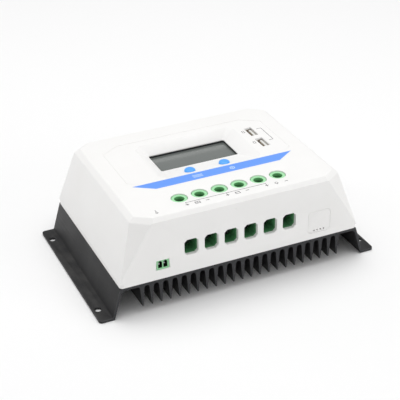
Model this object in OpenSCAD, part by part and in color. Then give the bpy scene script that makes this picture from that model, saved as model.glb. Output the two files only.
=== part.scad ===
// Solar charge controller: a finned heat sink with mounting flanges, and a
// moulded cover over two boards, six cable terminals, a display with two
// buttons, and two charging sockets.
// X runs along the length, Y to the back and Z up, in millimetres. The origin
// is the middle of the flanges' underside.

/* [Heat sink] */
// Length over the mounting flanges
overall_w = 213; // [212:0.5:218]
// Depth of the heat sink and the cover
body_d = 128.7; // [128:0.1:130]
// Half length of the base plate
plate_half_w = 90.5; // [90:0.1:91]
// Height of the base plate's top
plate_top_z = 23.3; // [23:0.1:24]
// Thickness of the base plate
plate_t = 2; // [1.8:0.1:2.4]
// Number of cooling fins
fin_count = 23; // [19:2:23]
// Distance from one fin to the next
fin_pitch = 6.82; // [6.7:0.01:6.9]
// Thickness of a fin at its tip
fin_tip_t = 0.9; // [0.7:0.1:1.2]
// Thickness of a fin at its root
fin_root_t = 3.3; // [3:0.1:3.6]
// Height of the fin tips above the mounting surface
fin_tip_z = 5.2; // [4:0.1:6]
// Thickness of the side walls and the flanges
wall_t = 1.9; // [1.6:0.1:2.2]
// How far a side wall leans outwards
wall_lean = 7; // [6:0.1:7.5]
// Distance between mounting holes along X
hole_pitch_x = 205; // [203:0.5:206]
// Distance between mounting holes along Y
hole_pitch_y = 100; // [98:0.5:103]
// Diameter of a mounting hole
hole_d = 5; // [4.5:0.1:5.5]

/* [Cover] */
// Height of the cover's flat top
cover_top_z = 70.6; // [70.4:0.1:71]
// Thickness of the cover's walls
cover_t = 2.2; // [2:0.1:2.5]
// Height of the vertical lip at the cover's base
lip_h = 3.2; // [2.5:0.1:4]
// Height of the rim where the edge slope starts
rim_z = 67.3; // [67:0.1:67.6]
// Half length at the rim
rim_half_w = 78.5; // [78:0.1:79]
// Half length of the flat top
top_half_w = 75; // [74.5:0.1:75.5]

/* [Display] */
// Depth of the display recess
recess_depth = 6.4; // [6.2:0.1:6.5]
// Half length of the recess at the top
recess_half_w = 39.7; // [39.5:0.1:40]
// Half length of the display window
window_half_w = 30.4; // [30:0.1:31]
// Diameter of a button
button_d = 7.9; // [7.7:0.1:8]
// Distance between the buttons
button_pitch = 26.8; // [26.5:0.1:27]
// Travel of a button
button_travel = 0.5; // [0.3:0.1:0.6]

/* [Terminals] */
// Distance from one terminal to the next
pole_pitch = 14.85; // [14.8:0.01:15]
// Outer diameter of a screw tower
tower_d = 11; // [10.8:0.1:11.4]
// Diameter of the screwdriver hole in a tower
tower_bore_d = 7; // [6.8:0.1:7.2]
// Width of a cable entry
entry_w = 10.3; // [10.1:0.1:10.6]
// Height of a cable entry
entry_h = 12; // [11.8:0.1:12.2]
// Nominal diameter of a clamp screw
screw_d = 5; // [4.8:0.1:5.2]
// Rise of a cage from open to fully clamped
cage_rise = 8; // [6:0.5:8]

/* [Hidden] */

$fn = 48;
skin = 0.01;         // thickness of the slabs that a hull joins
over = 0.5;          // how far a cut runs past a face
arc_steps = 6;       // straight steps in a rounded corner of an extruded outline

half_d = body_d / 2;
plate_under_z = plate_top_z - plate_t;

// heat sink
fin_gap_r = (fin_pitch - fin_root_t) / 2;
fin_gap_tip = fin_pitch - fin_tip_t;
last_fin_x = (fin_count - 1) / 2 * fin_pitch;
foot_x = plate_half_w + wall_lean;
wall_slope = wall_lean / plate_top_z;
flange_corner_r = 2.5;
bend_r = 0.6;
heel_r = 0.9;
inner_bend_r = 3.5;
edge_r = 0.8;

// cover screws, in the wide gaps beside the outer fins
cover_screw_x = 82.5;
cover_screw_y = 52;
cover_screw_r = 1.5;
cover_post_r = 3.6;
cover_post_top_z = 40;

// cover
lip_top_z = plate_top_z + lip_h;
lip_corner_r = 2.5;
roof_t = 2.4;
roof_under_z = cover_top_z - roof_t;
rim_back_y = half_d;
top_front_y = -61.7;
top_back_y = 59.3;
inner_rim_z = rim_z - 0.7;

// display recess: a window with a slope on each side, the front one the longest
window_front_y = 5;
window_back_y = 30.8;
recess_front_y = -17.8;
recess_back_y = 36.8;
recess_floor_z = cover_top_z - recess_depth;
window_corner = 1;
frame_pocket_z = recess_floor_z - 0.6;
tub_floor_z = recess_floor_z - 2.2;
glass_top_z = frame_pocket_z - 1.45;
glass_t = 1.8;
frame_margin = 3.2;

// display board
board_t = 1.6;
display_board_z = 54.9;
display_board_top_z = display_board_z + board_t;
display_board_x = [-52, 64];
display_board_y = [-22, 40];
display_post_x = [-48, 60];
display_post_y = [-18, 36];
display_post_r = 3.2;
display_pilot_r = 1.2;

// buttons and their switches
button_mid_x = -1.6;
button_y = -10.2;
button_gap = 0.15;
button_top_z = cover_top_z - 0.05;
button_dome = 1;
button_flange_r = 4.8;
button_flange_t = 1;
button_flange_top_z = 64.6;
switch_w = 6;
switch_h = 3.5;
switch_stem_r = 1.75;
switch_stem_top_z = 62.6;

// main board
main_board_z = 27.1;
main_board_top_z = main_board_z + board_t;
main_board_half_w = 74;
main_board_y = [-60.5, 50];
board_post_x = 69;
board_post_y = [-30, 43];

// terminals
pole_count = 6;
pole_mid_x = -1.2;
pole_y = -45.4;
entry_z = 42.7;
entry_cut = 2;
block_w = 14.6;
block_front_y = -61.35;
entry_pad_h = 16;
block_back_y = -37;
block_top_z = 64;
tower_top_z = 70;
tower_gap = 0.4;
chamber_w = 11.5;
chamber_d = 11.8;
shoulder_t = 1.2;
head_h = 2.8;
head_r = tower_bore_d / 2 - 0.15;
slot_w = 1;
slot_depth = 1.3;
thread_gap = 0.05;
bar_w = 8.2;
bar_t = 1.8;
bar_z = 48.4;
bar_front_y = -54.5;
bar_leg_y = -35.2;
cage_w = 11;
cage_side_t = 1.1;
cage_floor_t = 1.6;
cage_top_t = 2.8;
cage_inner_z = 36.7;
cage_inner_h = 13.7;
cage_top_z = cage_inner_z + cage_inner_h + cage_top_t;
chamber_top_z = cage_top_z + cage_rise;
head_seat_z = chamber_top_z + shoulder_t;

// sockets in the walls
sensor_x = -59.4;
sensor_z = [main_board_top_z, 37.9];
sensor_nose_z = 30.8;
sensor_w = 9.1;
sensor_pitch = 3.81;
sensor_front_y = -64;
sensor_back_y = -54;
sensor_hole_w = 2.9;
sensor_hole_z = [31.8, 36.6];
sensor_hole_depth = 8;
blank_x = 59.7;
blank_z = 36.65;
blank_w = 17.8;
blank_h = 17.3;
blank_corner_r = 3;
blank_gap = 0.12;
service_pitch = 2.5;
service_count = 4;
service_z = 30;
service_hole = 1.2;

// charging sockets
usb_x = 49.25;
usb_y = [22.25, 3.55];
usb_inner = [4.8, 12.4];
usb_shell_t = 0.35;
usb_cover_gap = 0.15;
usb_top_z = 70.35;
usb_tongue = [1.7, 10.6];
usb_tongue_x = 0.45;
usb_tongue_top_z = 69.3;
usb_base_h = 2.4;
usb_contact_count = 4;
usb_contact_pitch = 2.3;

// stripe below the buttons
stripe_t = 0.15;
stripe_front_y = -27.2;
stripe_back_half_w = 61.5;
stripe_front_half_w = 47.5;

// shallow line around the panel
panel_half_w = 63.5;
panel_back_y = 44.6;
panel_line_w = 0.4;
panel_line_depth = 0.2;

// ---- shared shapes ----

function pole_x(i) = pole_mid_x + (i - (pole_count - 1) / 2) * pole_pitch;

function button_x(i) = button_mid_x + (i - 0.5) * button_pitch;

// a rectangle with its four corners cut off
function cut_rect(half_w, front, back, cut_x, cut_front, cut_back) = [
    [-half_w + cut_x, front],
    [half_w - cut_x, front],
    [half_w, front + cut_front],
    [half_w, back - cut_back],
    [half_w - cut_x, back],
    [-half_w + cut_x, back],
    [-half_w, back - cut_back],
    [-half_w, front + cut_front]
];

// a block given by its ranges along X, Y and Z
module block(x, y, z) {
    translate([x[0], y[0], z[0]]) cube([x[1] - x[0], y[1] - y[0], z[1] - z[0]]);
}

module post(x, y, z, r) {
    translate([x, y, z[0]]) cylinder(r = r, h = z[1] - z[0]);
}

module slab(points, z) {
    translate([0, 0, z]) linear_extrude(height = skin) polygon(points);
}

// a profile drawn in X and Z, run along Y
module run_y(y) {
    translate([0, y[1], 0]) rotate([90, 0, 0]) linear_extrude(height = y[1] - y[0]) children();
}

function unit(v) = v / norm(v);

// points of an arc of radius r that rounds the corner p between a and b
function round_off(a, p, b, r) = let (
    u = unit(a - p),
    v = unit(b - p),
    half = acos(u * v) / 2,
    centre = p + unit(u + v) * r / sin(half),
    from = p + u * r / tan(half) - centre,
    to = p + v * r / tan(half) - centre
) [for (k = [0 : arc_steps]) centre + r * unit(from * (1 - k / arc_steps) + to * (k / arc_steps))];

// what is cut away to round a corner of a plate, drawn past its edges
module corner_cut(corner, r) {
    polygon(concat(
        round_off(corner - [r * 2, 0], corner, corner - [0, r * 2], r),
        [corner + [over, -r], corner + [over, over], corner + [-r, over]]
    ));
}

module rounded_rect(w, h, r) {
    square([w - 2 * r, h], center = true);
    square([w, h - 2 * r], center = true);
    for (sx = [-1, 1], sy = [-1, 1]) {
        translate([sx * (w / 2 - r), sy * (h / 2 - r)]) circle(r = r);
    }
}

// a pan-head screw with a cross recess, head down, its shank starting at z
module screw_up(x, y, z, shank_r, shank_h, screw_head_r, screw_head_h) {
    recess = [0.9, screw_head_r * 1.1, screw_head_h * 0.5];
    translate([x, y, z]) difference() {
        union() {
            cylinder(r = shank_r, h = shank_h);
            translate([0, 0, -screw_head_h]) cylinder(r = screw_head_r, h = screw_head_h);
        }
        for (turn = [0, 90]) {
            rotate([0, 0, turn]) translate([0, 0, -screw_head_h]) cube([recess[0], recess[1], 2 * recess[2]], center = true);
        }
    }
}

// ---- heat sink ----

// the side wall's inner face at height z
function wall_inner_x(z) = foot_x - wall_t - wall_slope * z;

// half of the outline outside the fins: over the plate's edge, down the side wall and round the flange
function sink_half() = let (
    shoulder = [plate_half_w, plate_top_z],
    foot = [foot_x - wall_slope * wall_t, wall_t],
    end = [overall_w / 2, wall_t],
    heel = [foot_x - wall_t, 0],
    corner = [wall_inner_x(plate_under_z), plate_under_z],
    root = [last_fin_x + fin_root_t / 2, plate_under_z],
    tip = [last_fin_x + fin_tip_t / 2, fin_tip_z]
) concat(
    round_off([0, plate_top_z], shoulder, foot, edge_r),
    round_off(shoulder, foot, end, bend_r),
    [end, [overall_w / 2, 0]],
    round_off([overall_w / 2, 0], heel, corner, heel_r),
    round_off(heel, corner, root, inner_bend_r),
    round_off(corner, root, tip, fin_gap_r),
    [tip]
);

// from one fin's tip over the round arch between two fins to the next fin's tip
function fin_gap(x) = let (
    root_z = plate_under_z - fin_gap_r
) concat(
    [[x + fin_gap_tip / 2, fin_tip_z]],
    [for (k = [0 : 2 * arc_steps]) [x, root_z] + fin_gap_r * [cos(k * 90 / arc_steps), sin(k * 90 / arc_steps)]],
    [[x - fin_gap_tip / 2, fin_tip_z]]
);

module sink_profile() {
    right = sink_half();
    last = len(right) - 1;
    left = [for (i = [0 : last]) [-right[last - i][0], right[last - i][1]]];
    gaps = [for (i = [fin_count - 1 : -1 : 1]) each fin_gap((i - fin_count / 2) * fin_pitch)];
    polygon(concat(right, gaps, left));
}

module heat_sink() {
    color("#262628") difference() {
        run_y([-half_d, half_d]) sink_profile();
        for (sx = [0, 1], sy = [0, 1]) {
            mirror([sx, 0, 0]) mirror([0, sy, 0]) {
                translate([0, 0, -over]) linear_extrude(height = 2 * wall_t) {
                    corner_cut([overall_w / 2, half_d], flange_corner_r);
                }
                post(hole_pitch_x / 2, hole_pitch_y / 2, [-over, wall_t + over], hole_d / 2);
                post(cover_screw_x, cover_screw_y, [plate_under_z - over, plate_top_z + over], cover_screw_r + 0.2);
            }
        }
        for (x = [-board_post_x, board_post_x], y = board_post_y) {
            post(x, y, [plate_top_z - 1.5, plate_top_z + over], 1.6);
        }
    }
}

// ---- cover ----

module cover_outside() {
    rim = cut_rect(rim_half_w, -half_d, rim_back_y, 12.1, 9, 9);
    top = cut_rect(top_half_w, top_front_y, top_back_y, 10.6, 7.3, 7.9);
    foot = cut_rect(plate_half_w, -half_d, half_d, skin, skin, skin);
    difference() {
        translate([0, 0, plate_top_z]) linear_extrude(height = lip_h) square([2 * plate_half_w, body_d], center = true);
        for (sx = [0, 1], sy = [0, 1]) {
            mirror([sx, 0, 0]) mirror([0, sy, 0]) translate([0, 0, plate_top_z - over]) {
                linear_extrude(height = lip_h + over) corner_cut([plate_half_w, half_d], lip_corner_r);
            }
        }
    }
    hull() {
        slab(foot, lip_top_z - skin);
        slab(rim, rim_z - skin);
    }
    hull() {
        slab(rim, rim_z - skin);
        slab(top, cover_top_z - skin);
    }
}

module cover_inside() {
    side = cover_t + 0.1;
    foot = cut_rect(plate_half_w - cover_t, -half_d + cover_t, half_d - cover_t, skin, skin, skin);
    rim = cut_rect(rim_half_w - side + 0.2, -half_d + cover_t, rim_back_y - cover_t, 11.6, 8.6, 8.6);
    top = cut_rect(top_half_w - 0.4, top_front_y + 1.1, top_back_y - 0.5, 10.4, 7.3, 7.8);
    translate([0, 0, plate_top_z - over]) linear_extrude(height = lip_h + over) {
        square([2 * (plate_half_w - cover_t), body_d - 2 * cover_t], center = true);
    }
    hull() {
        slab(foot, lip_top_z - skin);
        slab(rim, inner_rim_z - skin);
    }
    hull() {
        slab(rim, inner_rim_z - skin);
        slab(top, roof_under_z - skin);
    }
}

module window_outline(grow = 0) {
    polygon(cut_rect(window_half_w + grow, window_front_y - grow, window_back_y + grow,
        window_corner, window_corner, window_corner));
}

// the shell of the recess, hanging below the roof
module display_tub() {
    brim = cut_rect(39.5, recess_front_y + 0.7, recess_back_y + 0.2, 4, 5, 4);
    floor_half_w = window_half_w + frame_margin + 1;
    pan = cut_rect(floor_half_w, window_front_y - frame_margin - 1, window_back_y + frame_margin + 1, 1, 1, 1);
    hull() {
        slab(brim, roof_under_z + skin);
        slab(pan, tub_floor_z);
    }
}

module recess_cut() {
    brim = cut_rect(recess_half_w, recess_front_y, recess_back_y, 4.7, 5.6, 4.5);
    hull() {
        slab(brim, cover_top_z);
        translate([0, 0, recess_floor_z]) linear_extrude(height = skin) window_outline();
    }
    translate([0, 0, tub_floor_z - over]) linear_extrude(height = recess_depth) window_outline();
    // pocket for the frame, under a thin lip
    block([-window_half_w - frame_margin - 0.2, window_half_w + frame_margin + 0.2],
        [window_front_y - frame_margin - 0.2, window_back_y + frame_margin + 0.2],
        [tub_floor_z - over, frame_pocket_z]);
}

module cable_entry() {
    polygon(cut_rect(entry_w / 2, -entry_h / 2, entry_h / 2, entry_cut, entry_cut, entry_cut));
}

module front_cuts() {
    front = [-half_d - over, -half_d + cover_t + over];
    for (i = [0 : pole_count - 1]) {
        run_y([front[0], block_front_y]) translate([pole_x(i), entry_z]) cable_entry();
    }
    block([sensor_x - sensor_w / 2 - 0.15, sensor_x + sensor_w / 2 + 0.15], front, [sensor_nose_z - 0.15, sensor_z[1] + 0.15]);
    run_y(front) translate([blank_x, blank_z]) rounded_rect(blank_w, blank_h, blank_corner_r);
    // moulding mark high on the front wall
    translate([-5.4, -half_d, 63.9]) rotate([90, 0, 0]) cylinder(r = 0.65, h = 0.6, center = true);
}

module roof_cuts() {
    roof = [roof_under_z - over, cover_top_z + over];
    for (i = [0 : pole_count - 1]) {
        post(pole_x(i), pole_y, roof, tower_d / 2 + tower_gap);
    }
    for (y = usb_y) {
        w = usb_inner[0] / 2 + usb_shell_t + usb_cover_gap;
        d = usb_inner[1] / 2 + usb_shell_t + usb_cover_gap;
        block([usb_x - w, usb_x + w], [y - d, y + d], roof);
    }
    for (i = [0, 1]) {
        post(button_x(i), button_y, [tub_floor_z - over, cover_top_z], button_d / 2 + button_gap);
        post(button_x(i), button_y, [tub_floor_z - over, button_flange_top_z + 0.1], button_flange_r + 0.4);
    }
    translate([0, 0, cover_top_z - stripe_t]) linear_extrude(height = over) stripe_outline(0.05);
    panel_line();
}

// the panel's outline runs round the recess and meets the stripe's ends
module panel_line() {
    depth = panel_line_depth;
    w = panel_line_w;
    front = recess_front_y;
    translate([0, 0, cover_top_z - depth]) linear_extrude(height = over) difference() {
        polygon(cut_rect(panel_half_w, front - 2, panel_back_y, 14, 8, 9));
        polygon(cut_rect(panel_half_w - w, front - 2 - w, panel_back_y - w, 14, 8 + w, 9));
        translate([-stripe_back_half_w, front - 12]) square([2 * stripe_back_half_w, 12]);
    }
}

module cover_posts() {
    for (x = [-cover_screw_x, cover_screw_x], y = [-cover_screw_y, cover_screw_y]) {
        post(x, y, [plate_top_z, cover_post_top_z], cover_post_r);
    }
    for (x = display_post_x, y = display_post_y) {
        post(x, y, [display_board_top_z, roof_under_z + over], display_post_r);
    }
}

// a thicker strip behind the cable entries, up against the terminals
module entry_pad() {
    edge = block_w / 2;
    block([pole_x(0) - edge, pole_x(pole_count - 1) + edge], [-half_d + cover_t - 0.1, block_front_y - 0.1],
        [entry_z - entry_pad_h / 2, entry_z + entry_pad_h / 2]);
}

module cover_pilots() {
    for (x = [-cover_screw_x, cover_screw_x], y = [-cover_screw_y, cover_screw_y]) {
        post(x, y, [plate_top_z - over, cover_post_top_z - 3], cover_screw_r);
    }
    for (x = display_post_x, y = display_post_y) {
        post(x, y, [display_board_top_z - over, roof_under_z - 1], display_pilot_r);
    }
}

module top_cover() {
    color("#f4f3f1") difference() {
        union() {
            difference() {
                cover_outside();
                cover_inside();
            }
            display_tub();
            cover_posts();
            entry_pad();
        }
        recess_cut();
        front_cuts();
        roof_cuts();
        cover_pilots();
    }
}

module cover_screws() {
    color("silver") for (x = [-cover_screw_x, cover_screw_x], y = [-cover_screw_y, cover_screw_y]) {
        screw_up(x, y, plate_under_z, cover_screw_r, 14, 3, 2.2);
    }
}

// stripe: a long trapezoid, widest at the back
module stripe_outline(grow = 0) {
    polygon([
        [-stripe_back_half_w - grow, recess_front_y + grow],
        [-stripe_front_half_w, stripe_front_y - grow],
        [stripe_front_half_w, stripe_front_y - grow],
        [stripe_back_half_w + grow, recess_front_y + grow]
    ]);
}

module stripe_label() {
    color("#5c9bf5") translate([0, 0, cover_top_z - stripe_t]) linear_extrude(height = stripe_t) difference() {
        stripe_outline();
        for (i = [0, 1]) {
            translate([button_x(i), button_y]) circle(r = button_d / 2 + button_gap + 0.2);
        }
    }
}

// ---- power board ----

module main_board() {
    color("#1f5c38") difference() {
        block([-main_board_half_w, main_board_half_w], main_board_y, [main_board_z, main_board_top_z]);
        for (x = [-board_post_x, board_post_x], y = board_post_y) {
            post(x, y, [main_board_z - over, main_board_top_z + over], 1.7);
        }
        for (i = [0 : pole_count - 1]) {
            block([pole_x(i) - bar_w / 2 - 0.1, pole_x(i) + bar_w / 2 + 0.1],
                [bar_leg_y - bar_t - 0.1, bar_leg_y + 0.1], [main_board_z - over, main_board_top_z + over]);
        }
        for (side = [-0.5, 0.5]) {
            post(sensor_x + side * sensor_pitch, sensor_back_y + 3, [main_board_z - over, main_board_top_z + over], 0.8);
        }
    }
}

module board_posts() {
    color("goldenrod") for (x = [-board_post_x, board_post_x], y = board_post_y) {
        difference() {
            union() {
                translate([x, y, plate_top_z]) cylinder(d = 6.4, h = main_board_z - plate_top_z, $fn = 6);
                post(x, y, [plate_top_z - 1.4, plate_top_z], 1.55);
            }
            post(x, y, [plate_top_z - 0.4, main_board_z + over], 1.3);
        }
    }
}

module board_screws() {
    color("silver") for (x = [-board_post_x, board_post_x], y = board_post_y) {
        rotate([180, 0, 0]) screw_up(x, -y, -main_board_top_z, 1.25, 4.5, 2.8, 1.8);
    }
}

// switches under the board, on a pad that carries their heat to the plate
transistor_count = 8;
transistor_pitch = 14;
transistor_y = -12;
transistor_h = 2.3;

module thermal_pad() {
    half = transistor_count * transistor_pitch / 2;
    color("slategray") block([-half, half], [transistor_y - 8, transistor_y + 8], [plate_top_z, main_board_z - transistor_h]);
}

module power_transistors() {
    color("dimgray") for (i = [0 : transistor_count - 1]) {
        translate([(i - (transistor_count - 1) / 2) * transistor_pitch, transistor_y, main_board_z - transistor_h]) {
            translate([-5, -4.5, 0]) cube([10, 9, transistor_h]);
            for (leg = [-1, 1]) {
                translate([leg * 2.54 - 0.5, -7.5, transistor_h - 0.9]) cube([1, 3.2, 0.9]);
            }
        }
    }
}

capacitor_x = [-60, -60, -38];
capacitor_y = [8, 28, 0];
capacitor_r = 8;
capacitor_h = 24;

module capacitors() {
    color("#2b3550") for (i = [0 : 2]) {
        translate([capacitor_x[i], capacitor_y[i], main_board_top_z]) rotate_extrude() polygon([
            [0, 0], [capacitor_r - 0.6, 0], [capacitor_r, 0.6], [capacitor_r, 2],
            [capacitor_r - 0.5, 2.6], [capacitor_r, 3.2], [capacitor_r, capacitor_h - 0.8],
            [capacitor_r - 0.8, capacitor_h], [0, capacitor_h]
        ]);
    }
}

module current_shunts() {
    color("darkkhaki") for (x = [-16, 14]) {
        run_y([-30, -24]) translate([x, main_board_top_z]) difference() {
            square([16, 6]);
            translate([1.4, -over]) square([13.2, 5.1]);
        }
    }
}

// package sizes and places: x, y, width, depth, height
chips = [[-8, 10, 12, 12, 1.6], [14, 12, 10, 4, 1.7], [14, 22, 5, 4, 1.5], [-10, 30, 8, 5, 1.8], [34, -4, 6.5, 6, 2.3]];

module control_chips() {
    color("#202022") for (chip = chips) {
        translate([chip[0], chip[1], main_board_top_z]) cube([chip[2], chip[3], chip[4]]);
    }
}

module regulator_coil() {
    color("#3a3a3d") translate([54, 12, main_board_top_z]) {
        difference() {
            union() {
                translate([0, 0, 3]) cube([12, 12, 6], center = true);
                cylinder(r = 4.6, h = 6.6);
            }
            translate([0, 0, 6]) cylinder(r = 1.5, h = 2);
        }
    }
}

// a small sensor on the base plate, behind the switches
module heat_sensor() {
    color("peru") translate([0, 8, plate_top_z]) {
        difference() {
            translate([0, 0, 0.5]) cube([8, 16, 1], center = true);
            translate([0, 3.5, -over]) cylinder(r = 1.6, h = 2);
        }
        translate([0, -4, 2]) rotate([90, 0, 0]) cylinder(r = 1.5, h = 5, center = true);
    }
}

// ---- cable terminals ----

module terminal_block(i) {
    color("#5fb56c") translate([pole_x(i), 0, 0]) difference() {
        union() {
            block([-block_w / 2, block_w / 2], [block_front_y, block_back_y], [main_board_top_z, block_top_z]);
            post(0, pole_y, [block_top_z - 1, tower_top_z], tower_d / 2);
        }
        // throat for the cable
        run_y([block_front_y - over, pole_y]) translate([0, entry_z]) {
            polygon(cut_rect(entry_w / 2 - 0.2, 0.2 - entry_h / 2, entry_h / 2 - 0.2, entry_cut, entry_cut, entry_cut));
        }
        // chamber that the cage rises in, open at the bottom
        block([-chamber_w / 2, chamber_w / 2], [pole_y - chamber_d / 2, pole_y + chamber_d / 2],
            [main_board_top_z - over, chamber_top_z]);
        // slot for the contact bar
        block([-bar_w / 2 - 0.15, bar_w / 2 + 0.15], [bar_front_y - 0.3, block_back_y + over],
            [bar_z - 0.1, bar_z + bar_t + 0.1]);
        post(0, pole_y, [chamber_top_z - over, head_seat_z + over], screw_d / 2 + 0.25);
        post(0, pole_y, [head_seat_z, tower_top_z + over], tower_bore_d / 2);
    }
}

module terminal_bars() {
    color("#c98a4b") for (i = [0 : pole_count - 1]) {
        x = [pole_x(i) - bar_w / 2, pole_x(i) + bar_w / 2];
        block(x, [bar_front_y, bar_leg_y], [bar_z, bar_z + bar_t]);
        block(x, [bar_leg_y - bar_t, bar_leg_y], [main_board_z - 1, bar_z + bar_t]);
    }
}

module clamp_screw(i) {
    tip_z = bar_z + bar_t + 0.3;
    color("lightsteelblue") translate([pole_x(i), pole_y, 0]) difference() {
        union() {
            translate([0, 0, tip_z]) cylinder(d = screw_d, h = head_seat_z - tip_z + over);
            translate([0, 0, head_seat_z + thread_gap]) cylinder(r = head_r, h = head_h);
        }
        translate([-tower_bore_d, -slot_w / 2, head_seat_z + head_h - slot_depth]) {
            cube([2 * tower_bore_d, slot_w, 2 * slot_depth]);
        }
    }
}

module clamp_cage(i) {
    floor_z = cage_inner_z - cage_floor_t;
    ceiling_z = cage_inner_z + cage_inner_h;
    half = cage_w / 2;
    color("gainsboro") translate([pole_x(i), pole_y, 0]) difference() {
        block([-half, half], [-half, half], [floor_z, ceiling_z + cage_top_t]);
        block([-half + cage_side_t, half - cage_side_t], [-half - over, half + over], [cage_inner_z, ceiling_z]);
        translate([0, 0, ceiling_z - over]) cylinder(r = screw_d / 2 + thread_gap, h = cage_top_t + 2 * over);
    }
}

// ---- sockets in the front wall ----

module sensor_socket() {
    x = [sensor_x - sensor_w / 2, sensor_x + sensor_w / 2];
    wall_back_y = -half_d + cover_t + 0.15;
    color("#97d9a0") difference() {
        union() {
            block(x, [wall_back_y, sensor_back_y], sensor_z);
            block(x, [sensor_front_y, wall_back_y + over], [sensor_nose_z, sensor_z[1]]);
        }
        for (side = [-0.5, 0.5]) {
            mid = sensor_x + side * sensor_pitch;
            block([mid - sensor_hole_w / 2, mid + sensor_hole_w / 2],
                [sensor_front_y - over, sensor_front_y + sensor_hole_depth], sensor_hole_z);
            // key notch above each pole
            block([mid - 0.7, mid + 0.7], [sensor_front_y - over, sensor_front_y + sensor_hole_depth],
                [sensor_hole_z[1] - over, sensor_hole_z[1] + 0.7]);
            block([mid - 0.55, mid + 0.55], [sensor_front_y + 2, sensor_back_y + over], [33.2, 34.3]);
        }
    }
}

module sensor_pins() {
    color("silver") for (side = [-0.5, 0.5]) {
        mid = sensor_x + side * sensor_pitch;
        block([mid - 0.5, mid + 0.5], [sensor_front_y + 2.5, sensor_back_y + 3.5], [33.25, 34.25]);
        block([mid - 0.5, mid + 0.5], [sensor_back_y + 2.5, sensor_back_y + 3.5], [main_board_z - 1.5, 34.25]);
    }
}

module port_blank() {
    wall_back_y = -half_d + cover_t;
    color("#eeedeb") difference() {
        union() {
            run_y([-half_d, wall_back_y + 0.1]) translate([blank_x, blank_z]) {
                rounded_rect(blank_w - 2 * blank_gap, blank_h - 2 * blank_gap, blank_corner_r - blank_gap);
            }
            run_y([wall_back_y + 0.05, wall_back_y + 0.9]) translate([blank_x, blank_z + 0.8]) {
                rounded_rect(blank_w + 2, blank_h - 1, blank_corner_r);
            }
        }
        for (i = [0 : service_count - 1]) {
            x = blank_x + (i - (service_count - 1) / 2) * service_pitch;
            block([x - service_hole / 2, x + service_hole / 2], [-half_d - over, wall_back_y + 1 + over],
                [service_z - service_hole / 2, service_z + service_hole / 2]);
        }
    }
}

module service_header() {
    half = service_count * service_pitch / 2;
    front_y = -half_d + cover_t + 1;
    color("#1c1c1e") difference() {
        block([blank_x - half, blank_x + half], [front_y, front_y + 8.5], [main_board_top_z, service_z + 1.3]);
        for (i = [0 : service_count - 1]) {
            x = blank_x + (i - (service_count - 1) / 2) * service_pitch;
            block([x - 0.35, x + 0.35], [front_y - over, front_y + 6], [service_z - 0.35, service_z + 0.35]);
        }
    }
}

// ---- display board and what stands on it ----

module display_board() {
    color("#1f5c38") difference() {
        block(display_board_x, display_board_y, [display_board_z, display_board_top_z]);
        for (x = display_post_x, y = display_post_y) {
            post(x, y, [display_board_z - over, display_board_top_z + over], 1.4);
        }
    }
}

module display_screws() {
    color("silver") for (x = display_post_x, y = display_post_y) {
        screw_up(x, y, display_board_z, display_pilot_r, 8, 2.4, 1.6);
    }
}

module lcd_frame() {
    half_w = window_half_w + frame_margin;
    y = [window_front_y - frame_margin, window_back_y + frame_margin];
    inset = 1.3;
    color("#161617") difference() {
        block([-half_w, half_w], y, [display_board_top_z, frame_pocket_z - 0.05]);
        block([-half_w + inset, half_w - inset], [y[0] + inset, y[1] - inset],
            [display_board_top_z - over, glass_top_z + 0.05]);
        translate([0, 0, glass_top_z - over]) linear_extrude(height = 4) window_outline(0.05);
    }
}

module lcd_glass() {
    half_w = window_half_w + frame_margin - 1.4;
    y = [window_front_y - frame_margin + 1.4, window_back_y + frame_margin - 1.4];
    color("#808682") block([-half_w, half_w], y, [glass_top_z - glass_t, glass_top_z]);
}

module backlight() {
    half_w = window_half_w + frame_margin - 1.6;
    y = [window_front_y - frame_margin + 1.6, window_back_y + frame_margin - 1.6];
    color("aliceblue") block([-half_w, half_w], y, [display_board_top_z, glass_top_z - glass_t - 0.05]);
}

module switch_bodies() {
    color("#2a2a2c") for (i = [0, 1]) {
        translate([button_x(i), button_y, display_board_top_z]) difference() {
            translate([-switch_w / 2, -switch_w / 2, 0]) cube([switch_w, switch_w, switch_h]);
            translate([0, 0, 1.2]) cylinder(r = switch_stem_r + 0.08, h = switch_h);
        }
    }
}

module switch_stem(i) {
    color("#3c3c40") post(button_x(i), button_y,
        [display_board_top_z + 1.2 + button_travel + 0.1, switch_stem_top_z], switch_stem_r);
}

module push_button(i) {
    r = button_d / 2;
    shoulder_z = button_flange_top_z - button_flange_t;
    color("#6db2ff") translate([button_x(i), button_y, 0]) rotate_extrude() polygon(concat(
        [[0, switch_stem_top_z + 0.02], [2, switch_stem_top_z + 0.02], [2, shoulder_z], [button_flange_r, shoulder_z],
            [button_flange_r, button_flange_top_z], [r, button_flange_top_z], [r, button_top_z - button_dome - 0.6]],
        // domed top: a quarter ellipse from the side to the middle
        [for (a = [10 : 10 : 80]) [r * cos(a), button_top_z - button_dome - 0.6 + (button_dome + 0.6) * sin(a)]],
        [[0, button_top_z]]
    ));
}

// ---- link between the boards ----
link_x = 30;
link_y = -16;
link_count = 8;
link_pitch = 2.54;

module link_socket() {
    half = link_count * link_pitch / 2;
    color("#1c1c1e") difference() {
        block([link_x - half, link_x + half], [link_y - 1.3, link_y + 1.3], [main_board_top_z, main_board_top_z + 8.5]);
        for (i = [0 : link_count - 1]) {
            x = link_x + (i - (link_count - 1) / 2) * link_pitch;
            block([x - 0.4, x + 0.4], [link_y - 0.4, link_y + 0.4], [main_board_top_z + 1.5, main_board_top_z + 9]);
        }
    }
}

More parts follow.
